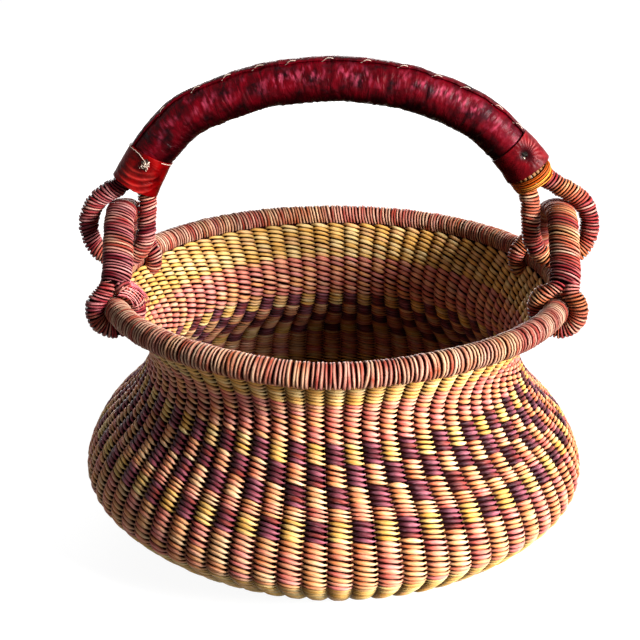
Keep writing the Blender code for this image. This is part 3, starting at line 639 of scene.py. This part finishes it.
grip_top = rim_height + 0.1535
grip_end_height = rim_height + 0.0785
grip_reach = rim_radius - 0.0217
grip_corners = [(share * grip_reach, grip_end_height + up * (grip_top - grip_end_height)) for share, up in
                ((0, 1), (0.30, 0.948), (0.44, 0.877), (0.585, 0.768), (0.735, 0.60), (0.893, 0.304),
                 (0.96, 0.135), (1, 0))]
right_pull = ((0.0, -0.0010), (0.0, -0.0021), (-0.0002, -0.0025), (-0.0011, -0.0024), (-0.0016, -0.0021),
              (-0.0021, -0.0014), (-0.0020, -0.0010), (-0.0017, -0.0007))
left_pull = ((0.0, -0.0008), (0.0, -0.0006), (0.0, 0.0), (-0.0010, 0.0012), (-0.0001, 0.0004), (0.0010, -0.0004),
             (0.0013, -0.0006))
right_half = [(x + dx, z + dz) for (x, z), (dx, dz) in zip(grip_corners, right_pull)]
left_half = [(dx - x, z + dz) for (x, z), (dx, dz) in zip(grip_corners[1:], left_pull)]
grip_line = eased(left_half[::-1] + right_half, 24)
grip_run = run_along(grip_line)
grip_run -= grip_run[-1] / 2
grip_slope = np.gradient(grip_line, grip_run, axis=0)
grip_end = grip_run[-1]


def on_grip(run, angle, out_reach, across_reach, shift=0.0):
    """Points round the grip: this far along it, at this angle from its outer side towards the front."""
    run, angle = np.broadcast_arrays(np.asarray(run, float), angle)
    held = np.clip(run, grip_run[0], grip_run[-1])
    x, z = at(held, grip_run, grip_line).T
    along_x, along_z = at(held, grip_run, grip_slope).T
    size = np.hypot(along_x, along_z)
    along_x, along_z = along_x / size, along_z / size
    x, z = x + along_x * (run - held), z + along_z * (run - held)
    out = shift + out_reach * np.cos(angle)
    return np.stack((x - along_z * out, -across_reach * np.sin(angle), z + along_x * out), axis=-1)


loop_inner = rim_radius - 0.0255
loop_width = 0.0455
loop_shares = ((0.43, 0.935), (0.648, 0.85), (0.846, 0.735), (0.974, 0.558), (1.0, 0.373), (0.923, 0.189),
               (0.747, 0.055), (0.505, 0.0), (0.264, 0.055), (0.10, 0.189), (0.033, 0.357), (0.007, 0.55),
               (-0.02, 0.743))
loop_pulled = {-1: (0.0028, 0.0040), 1: (0.0010, 0.0008)}
run_off_grip = 0.00615
run_reach = grip_end - 0.004
handle_cores, handle_windings = [], []
for side in (-1, 1):
    outer_end, inner_end = ([on_grip(side * (run_reach - back), 0.0, off, 0.0) for back in (0.030, 0.015, 0.0)]
                            for off in (run_off_grip, -run_off_grip))
    bend = []
    for share, up in loop_shares:
        x = side * (loop_inner + share * loop_width) + np.interp(share, (0.1, 0.8), loop_pulled[side])
        bend.append(np.array((x, 0.0, bar_height + up * (grip_end_height - bar_height))))
    path = eased([*outer_end, *bend, *inner_end[::-1]], 5)
    handle_cores.append(laid_strand(path, (0.0, 1.0, 0.0), 0.0055, 0.0055, core_shade_dark,
                                    np.linspace(0, 0.2, len(path)), 0))
    handle_windings.append(wind(path[10:-10], (0.0, 1.0, 0.0), 0.0062, 0.0062, 0.0025, (0.00104, 0.00130),
                                lean=0.7 * side, **side_grass[side]))
grass_piece("handle_bundle", handle_cores, None, shaded_grass, 12, "handle")
grass_piece("handle_loops", handle_windings, "handle_rope", wound_grass, body="handle")


# Straw is packed round the two runs to make the grip thick and soft. It is laid lengthwise and packed as tight
# as it goes, and the leather hides all of it.

padding_out, padding_across = 0.01395, 0.0123
cuff_left_width, cuff_right_width = 0.028, 0.024
cuff_left_mouth, cuff_right_mouth = grip_end + 0.0035, grip_end - 0.0105
cuff_left_top, cuff_right_top = cuff_left_mouth - cuff_left_width, cuff_right_mouth - cuff_right_width
straw_count = 22
straw_depth, straw_width = 0.0016, 0.0019
straw_run = np.linspace(-cuff_left_top - 0.020, cuff_right_mouth + 0.009, 60)
straws = []
for k in range(straw_count):
    angle = 2 * math.pi * k / straw_count
    spots = on_grip(straw_run, angle, padding_out - straw_depth, padding_across - straw_depth)
    straws.append(laid_strand(spots, spots - on_grip(straw_run, angle, 0.0, 0.0), straw_width, straw_depth,
                              dye(128, 78, 34), straw_run, k * 2.0))
padding = grass_piece("grip_straw", straws, "grip_padding", body="handle")


# The grip is covered with one sheet of dark red goatskin, rolled round the straw and lapped over its own edge
# along the top. It was put on wet, so it has dried in fine creases across the grip.

def hide_finish(name, base, shine, dark, roughness, grain, crease):
    """Dyed leather in blotchy tones, with its shine colour mixed in as painted highlight and half its dark
    colour as painted shade, and finely grained and creased.
    """
    material, tree = new_finish(name)
    place = add_node(tree, "Attribute", "Vector", attribute_name="hide")
    painted_light = add_node(tree, "Attribute", "Fac", attribute_name="painted_light")
    blots = add_node(tree, "TexNoise", "Fac", {"Vector": place, "Scale": 70.0, "Detail": 5.0, "Roughness": 0.6})
    tinted = add_node(tree, "ValToRGB", "Color", {"Fac": blots})
    for end, position, colour in zip(tinted.node.color_ramp.elements, (0.36, 0.60), (dark, base)):
        end.position, end.color = position, (*colour, 1.0)
    highlighted = add_node(tree, "Mix", "Result", {"Factor": painted_light, "A": tinted, "B": (*shine, 1.0)}, data_type="RGBA")
    # Where the painted light is above 0 the shine colour is mixed in as painted highlight, and below 0 the dark
    # colour as painted shade.
    shade_share = add_node(tree, "MapRange", "Result", {
        "Value": painted_light, "From Min": -1.0, "From Max": 0.0, "To Min": 1.0, "To Max": 0.0})
    shaded_hide = add_node(tree, "Mix", "Result", {"Factor": shade_share, "A": highlighted, "B": (*(0.5 * dark), 1.0)},
                      data_type="RGBA")
    pebbles = add_node(tree, "TexVoronoi", "Distance", {"Vector": place, "Scale": 900.0})
    grained = add_node(tree, "Bump", "Normal", {"Strength": grain, "Distance": 0.0003, "Height": pebbles})
    drawn = add_node(tree, "Mapping", "Vector", {"Vector": place, "Scale": (190.0, 75.0, 1.0)})
    folds = add_node(tree, "TexNoise", "Fac", {
        "Vector": drawn, "Scale": 1.0, "Detail": 2.5, "Roughness": 0.62, "Distortion": 0.6})
    creases = add_node(tree, "Bump", "Normal", {
        "Strength": 0.9, "Distance": crease, "Height": folds, "Normal": grained})
    feed(tree, tree.nodes["Principled BSDF"], {
        "Roughness": roughness, "Specular IOR Level": 0.06, "Base Color": shaded_hide, "Normal": creases})
    return material


def rolled_sheet(name, along_steps, round_steps, place_at, thickness, closed=False, turned=False):
    """A flat sheet of leather, rolled to its place point by point, then given its thickness."""
    bm = bmesh.new()
    bmesh.ops.create_grid(bm, x_segments=along_steps, y_segments=round_steps, size=0.5)
    spots = np.array([v.co for v in bm.verts])
    places, crests, hides = place_at(spots[:, 0] + 0.5, spots[:, 1] + 0.5)
    crest_layer = bm.verts.layers.float.new("painted_light")
    hide_layer = bm.verts.layers.float_vector.new("hide")
    for vertex, spot, painted_light, hide in zip(bm.verts, places, crests, hides):
        vertex.co, vertex[crest_layer], vertex[hide_layer] = spot, float(painted_light), hide
    if closed:
        bmesh.ops.remove_doubles(bm, verts=bm.verts, dist=1e-5)
    if turned:
        bmesh.ops.reverse_faces(bm, faces=bm.faces)
    mesh = bpy.data.meshes.new(name)
    bm.to_mesh(mesh)
    bm.free()
    mesh.shade_smooth()
    piece = placed(name, mesh)
    wall = piece.modifiers.new("thickness", "SOLIDIFY")
    wall.thickness = thickness
    wall.offset = -1.0
    return piece


def rough_sheet(first, second, seed, detail=3):
    """Smooth chance heights over a sheet."""
    return np.array([noise.fractal(Vector((a, b, seed)), 0.9, 2.1, detail) for a, b in zip(first, second)])


leather = 0.0014
sleeve_out, sleeve_across = 0.01565, 0.0140
sleeve_round = 0.0155
sleeve_left, sleeve_right = cuff_left_top + 0.016, cuff_right_top + 0.016
hole_above_front = 0.30
lap = math.pi / 8
seam_runs = np.array((-0.1245, -0.101, -0.078, -0.056, -0.034, -0.009,
                      0.0165, 0.042, 0.065, 0.086, 0.110, 0.128))


def sleeve_place(along, about):
    """Where each point of the sleeve's sheet lies on the grip, and its painted highlight and painted shade
    there.
    """
    run = -sleeve_left + along * (sleeve_left + sleeve_right)
    angle = -lap + about * (2 * math.pi + 2 * lap)
    over = np.clip((angle - (2 * math.pi - 1.6 * lap)) / (0.6 * lap), 0, 1)
    lift = (leather + 0.0003) * over * over * (3 - 2 * over)
    facing = np.mod(angle + math.pi, 2 * math.pi) - math.pi
    fine = rough_sheet(run * 330 + 0.6 * np.sin(facing * 1.3), facing * 0.9, 3.1)
    folds = 1 - np.abs(rough_sheet(run * 120, facing * 0.8 + 9.0, 7.7))
    broad = rough_sheet(run * 38, facing * 1.1, 1.9)
    pucker = np.exp(-(np.min(np.abs(run[:, None] - seam_runs[None, :] - 0.003), axis=1) / 0.0035) ** 2)
    near_seam = np.exp(-((facing - lap) / 0.36) ** 2)
    calm = 0.35 + 0.65 * np.clip(np.abs(facing) / 0.8, 0, 1)
    height = (0.00042 * fine * calm + 0.00055 * (folds - 0.75) * calm + 0.00050 * broad
              - 0.00080 * pucker * near_seam)
    free = np.clip((sleeve_left + run - 0.012) / 0.010, 0, 1)
    free = free * np.clip((sleeve_right - run - 0.012) / 0.010, 0, 1)
    height = np.clip(height, -0.0012, 0.0007) * (0.15 + 0.85 * free) - 0.0003 - 0.0009 * (1 - free)
    pulled_in = np.hypot((run - cuff_right_top - 0.0101) / 0.005,
                         (facing - math.pi / 2 + hole_above_front) / 0.30)
    height -= 0.0018 * np.exp(-pulled_in ** 2)
    out, across = sleeve_out + lift + height, sleeve_across + lift + height
    # Painted highlights in short dashes where the grip faces front and up, a little more towards the right, and
    # painted shade on its underside.
    dashes = rough_sheet(run * 420 + 0.8 * facing, facing * 2.6, 12.3, 2)
    patches = rough_sheet(run * 55, facing * 1.2, 4.4, 2)
    shone = np.exp(-((facing - 1.12) / 0.42) ** 2)
    painted_light = np.clip(2.0 * dashes - 0.05, 0, 1) * np.clip(0.5 + 1.3 * patches, 0, 1) * shone * 0.62
    painted_light += 0.05 * shone * np.clip((run - 0.03) / 0.08, 0, 1)
    painted_light -= 0.85 * np.clip((np.abs(facing) - 1.62 - 0.25 * patches) / 0.75, 0, 1)
    return on_grip(run, angle, out, across), painted_light, np.stack((run, facing * sleeve_round, 0 * run), axis=1)


# The grip's second colour is its painted highlight; its third is blotched in and, at half, is its painted shade.
sleeve_red = hide_finish("grip_hide", dye(88, 0, 10), dye(190, 68, 94), dye(18, 0, 2), 0.40, 0.12, 0.0016)
sleeve = rolled_sheet("grip_sleeve", 400, 84, sleeve_place, leather, turned=True)
sleeve.data.materials.append(sleeve_red)
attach(sleeve, "handle")
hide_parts("leather_sleeve")


# The lap is whipped down with one waxed pale thread. Each stitch slants over the edge of the lap and goes back
# under the leather, so only short dashes show.

thread_pale = dye(226, 196, 176)
thread_finish = grass_finish("waxed_thread", 0.7, 0.3, gloss=0.03)
stitch_length = 0.0088
seam_strands = []
for k, start in enumerate(seam_runs):
    share = np.linspace(0, 1, 12)
    run = start + stitch_length * share
    angle = lap - np.radians(0.5 + 4.5 * share)
    bow = np.sin(math.pi * share)
    lift = 0.0002 + 0.0003 * bow + np.clip((share - 0.10) * 3, 0, 1) * 0.0013
    sunk = 0.0010 * (1 - bow)
    spots = on_grip(run, angle, sleeve_out + lift - sunk, sleeve_across + lift - sunk)
    seam_strands.append(laid_strand(spots, spots - on_grip(run, angle, 0.0, 0.0), 0.00034, 0.00028, thread_pale,
                                    run, k))
grass_piece("seam_stitches", seam_strands, "seam_thread", thread_finish, body="handle")


# A short band of brighter red leather closes each end of the sleeve. The left one is creased below a knot, and
# the right one is drawn in at one spot, where it is stitched through.

# For each cuff the second colour is its painted highlight, pinker on the right one; the third is blotched in
# and, at half, is its painted shade.
cuff_red = hide_finish("cuff_hide", dye(126, 0, 2), dye(196, 52, 46), dye(54, 0, 1), 0.38, 0.12, 0.0010)
cuff_pink_sheen = hide_finish("cuff_hide_pink_sheen", dye(116, 6, 16), dye(206, 110, 108), dye(52, 0, 5),
                        0.40, 0.12, 0.0010)
cuff_shift = 0.0005
cuff_slant = 0.0030
cuff_flare = 0.0014
cuff_reach_out, cuff_reach_across = 0.01655, 0.01495
cuff_round = 0.016
knot_facing = math.pi / 2 - 0.01


def cuff_place(side, top, mouth):
    """Where each point of a cuff's band lies, for the left or the right end."""
    def place(along, about):
        angle = 2 * math.pi * about
        run_out = top + along * (mouth - top)
        if side < 0:
            run_out = run_out + cuff_slant * np.cos(angle) * (1 - along)
        facing = np.mod(angle + math.pi, 2 * math.pi) - math.pi
        flare = cuff_flare * along
        broad = rough_sheet(run_out * 120, np.cos(facing) * 1.4, 5.0 + side)
        if side < 0:
            aside = (facing - knot_facing) / 0.9
            below = along - 0.26 + 0.16 * (aside + 0.25) ** 2
            near = np.exp(-(aside / 1.1) ** 2) * np.clip((along - 0.34) * 5, 0, 1)
            crease = (0.5 + 0.5 * np.sin(below * 34 + 1.5 * aside)) ** 2.5 * near
            height = 0.00060 * crease + 0.0003 * broad
            height -= 0.0009 * np.exp(-((along - 0.23) / 0.15) ** 2 - (aside / 0.36) ** 2)
        else:
            dx, dy = (along - 0.42) * 1.5, (facing - math.pi / 2 + hole_above_front) / 0.9
            away = np.hypot(dx, dy)
            spoke = np.arctan2(dx, -dy)
            fanned = np.exp(-(spoke / 1.5) ** 2)
            pucker = (0.5 + 0.5 * np.cos(23 * spoke + 3 * np.sin(2 * spoke))) ** 2 * (0.10 + 0.90 * fanned)
            height = 0.0003 * broad + 0.00085 * pucker * np.exp(-((away - 0.52) / 0.30) ** 2)
            height -= 0.0018 * np.exp(-(away / 0.22) ** 2) + 0.0009 * np.exp(-(away / 0.55) ** 2)
        out, across = cuff_reach_out + flare + height, cuff_reach_across + flare + height
        # Painted highlight on the raised creases, painted shade on the underside, and on the right cuff painted
        # shade in the stitched hole.
        painted_light = np.clip(0.3 + height * 1100, 0, 1) ** 2 * 0.7
        painted_light -= 0.8 * np.clip((np.abs(facing) - 1.75 + 0.3 * side) / 0.8, 0, 1)
        if side > 0:
            painted_light -= 2.4 * np.exp(-(away / 0.22) ** 2)
        hide = np.stack((run_out * side, facing * 0.017, np.full(len(angle), 0.5 * side)), axis=1)
        return on_grip(side * run_out, angle, out, across, cuff_shift), painted_light, hide
    return place


for side, word, top, mouth in ((-1, "left", cuff_left_top, cuff_left_mouth),
                               (1, "right", cuff_right_top, cuff_right_mouth)):
    cuff = rolled_sheet("cuff_band_" + word, 60, 120, cuff_place(side, top, mouth), 0.0015, closed=True,
                        turned=side > 0)
    cuff.data.materials.append(cuff_red if side < 0 else cuff_pink_sheen)
    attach(cuff, "handle")
    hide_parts("cuff_" + word)


# A thin pale thread is tied round the top of the left cuff, and its frayed knot sits on the front. Nine short
# strands sit in the drawn-in spot of the right cuff: eight nearly black ones as painted shade in the hole, and a
# last of pale thread.

def round_cuff(run_out, angle, lift):
    """Points this far above the left cuff."""
    reach = lift + cuff_flare * (run_out - cuff_left_top) / (cuff_left_mouth - cuff_left_top)
    return on_grip(-run_out, angle, cuff_reach_out + reach, cuff_reach_across + reach, cuff_shift)


thread_size = 0.00024
thread_turn = np.linspace(0, 2 * math.pi, 64, endpoint=False)
thread_run = cuff_left_top + 0.0007 + cuff_slant * np.cos(thread_turn)
thread_run += 0.0034 * np.exp(-((thread_turn - knot_facing) / 0.34) ** 2)
tucked = np.exp(-((thread_turn - knot_facing - 0.36) / 0.24) ** 4)
thread_spots = round_cuff(thread_run, thread_turn, 0.0003 - 0.0014 * tucked)
thread_outward = thread_spots - round_cuff(thread_run, thread_turn, -0.010)
knot_strands = [laid_strand(thread_spots, thread_outward, thread_size, thread_size, thread_pale,
                            thread_turn * cuff_round, 0, closed=True)]
knot_chance = np.random.default_rng(9)
for k in range(30):
    share = np.linspace(0, 1, 12)
    heading, bend = knot_chance.uniform(0, 2 * math.pi), knot_chance.uniform(-4.5, 4.5)
    length = knot_chance.uniform(0.0016, 0.0044)
    step, halfway = heading + bend * share, heading + bend / 2
    along = np.clip(knot_chance.normal(0, 0.0022), -0.0034, 0.0034) + length * np.cumsum(np.cos(step)) / 12
    aside = np.clip(knot_chance.normal(0, 0.0014), -0.0022, 0.0022) + length * np.cumsum(np.sin(step)) / 12
    along, aside = along - length * math.cos(halfway) / 2, aside - length * math.sin(halfway) / 2
    run, angle = cuff_left_top + 0.0064 + along, knot_facing + aside / cuff_round
    lift = knot_chance.uniform(-0.0002, 0.0008) + 0.0005 * np.sin(math.pi * share)
    spots = round_cuff(run, angle, lift)
    taper = np.clip(1.4 - 2 * np.abs(share - 0.5), 0.3, 1) * knot_chance.uniform(0.6, 1.2)
    # Every third fibre is nearly black, as painted shade in the tangle of the knot.
    tone = thread_pale * (knot_chance.uniform(0.8, 1.1) if k % 3 else 0.04)
    knot_strands.append(laid_strand(spots, spots - round_cuff(run, angle, lift - 0.010), 0.00045 * taper,
                                    0.00032 * taper, tone, 0.01 * share, k))
for k in range(9):
    share = np.linspace(-1, 1, 9)
    heading = knot_chance.uniform(0, math.pi)
    half_length, off = (0.0026, 0.0) if k < 8 else (0.0006, 0.0022)
    along = 0.43 + (half_length * share * math.cos(heading) + 0.5 * off) / cuff_right_width
    run = cuff_right_top + cuff_right_width * along
    angle = math.pi / 2 - hole_above_front + (half_length * share * math.sin(heading) + off) / cuff_round
    reach = knot_chance.uniform(-0.0020, -0.0015) + 0.0005 * (1 - share ** 2) + (0.0008 if k == 8 else 0.0)
    spots = on_grip(run, angle, cuff_reach_out + reach, cuff_reach_across + reach, cuff_shift)
    # Eight nearly black strands are painted shade in the hole; the ninth is the pale thread.
    knot_strands.append(laid_strand(spots, spots - on_grip(run, angle, 0.0, 0.0), 0.00055, 0.00045,
                                    thread_pale * (1.0 if k == 8 else 0.008), 0.01 * share, 40.0 + k))
grass_piece("cuff_knot", knot_strands, "cuff_thread_left", thread_finish, body="handle")


# Below the right cuff the grip's straw ends under a winding of golden grass, a twisted strand taken round
# several times.

gold_dyes = [(dye(206, 104, 18), dye(250, 196, 84)), (dye(184, 78, 16), dye(244, 164, 58)),
             (dye(216, 132, 34), dye(254, 216, 130))]
binding_run = np.linspace(cuff_right_mouth + 0.0002, cuff_right_mouth + 0.0122, 40)
binding_middle = on_grip(binding_run, 0.0, 0.0, 0.0)
binding_across = on_grip(binding_run, 0.0, 1.0, 1.0) - binding_middle
drawn_in = np.interp(np.arange(40), (0, 26, 39), (0.0, 0.0, 0.0014))
binding_strand = wind(binding_middle, binding_across, padding_out + 0.0011 - drawn_in,
                      padding_across + 0.0011 - drawn_in, 0.0018, (0.00074, 0.00110), turn_points=48, lean=1.7,
                      dyes=gold_dyes, unrest=1.5, flank_shade=0.35, glinting=(-0.7, 1.3))
grass_piece("grass_binding", [binding_strand], "grass_binding_right", wound_grass, 8, "handle")


# The table and the backdrop are one pale sweep. The strongest of the soft lamps stands at the right, a weak one
# at the left, and a wide one behind the basket.

floor_mesh = bpy.data.meshes.new("table_sweep")
floor_bm = bmesh.new()
bmesh.ops.create_grid(floor_bm, x_segments=1, y_segments=1, size=6.0)
floor_bm.to_mesh(floor_mesh)
floor_bm.free()
floor = placed("table_sweep", floor_mesh)


def lit_and_seen(tree, lit, seen):
    """A strength for light on the basket, and another for what is seen plainly, in gloss or through glass."""
    path = tree.nodes.new("ShaderNodeLightPath")
    total = path.outputs["Is Camera Ray"]
    for kind in ("Is Glossy Ray", "Is Transmission Ray"):
        total = add_node(tree, "Math", "Value", {0: total, 1: path.outputs[kind]},
                         operation="ADD", use_clamp=True)
    return add_node(tree, "MapRange", "Result", {"Value": total, "To Min": lit, "To Max": seen})


floor_finish, floor_tree = new_finish("table_white")
feed(floor_tree, floor_tree.nodes["Principled BSDF"], {
    "Base Color": (0.14, 0.14, 0.14, 1.0), "Roughness": 0.9, "Emission Color": (1.0, 1.0, 1.0, 1.0),
    "Emission Strength": lit_and_seen(floor_tree, 0.0, 0.93)})
floor_mesh.materials.append(floor_finish)

world = bpy.data.worlds.new("studio")
world.use_nodes = True
bpy.context.scene.world = world
feed(world.node_tree, world.node_tree.nodes["Background"], {
    "Color": (1.0, 1.0, 1.0, 1.0), "Strength": lit_and_seen(world.node_tree, 0.06, 1.0)})


def soft_lamp(name, spot, aim, size, watts):
    """A square soft lamp that faces its aim."""
    lamp = bpy.data.lights.new(name, "AREA")
    lamp.shape = "SQUARE"
    lamp.size = size
    lamp.energy = watts
    stand = placed(name, lamp)
    stand.location = spot
    stand.rotation_mode = "QUATERNION"
    stand.rotation_quaternion = (Vector(aim) - Vector(spot)).to_track_quat("-Z", "Y")


soft_lamp("right_lamp", (1.57, -1.01, 0.88), (0.0, 0.0, 0.14), 0.6, 129.0)
soft_lamp("left_lamp", (-1.4, -1.2, 0.9), (0.0, 0.0, 0.12), 1.2, 2.0)
soft_lamp("back_lamp", (-0.2, 2.0, 0.45), (0.0, 0.0, 0.14), 1.2, 45.0)

bpy.context.scene.view_settings.view_transform = "Standard"
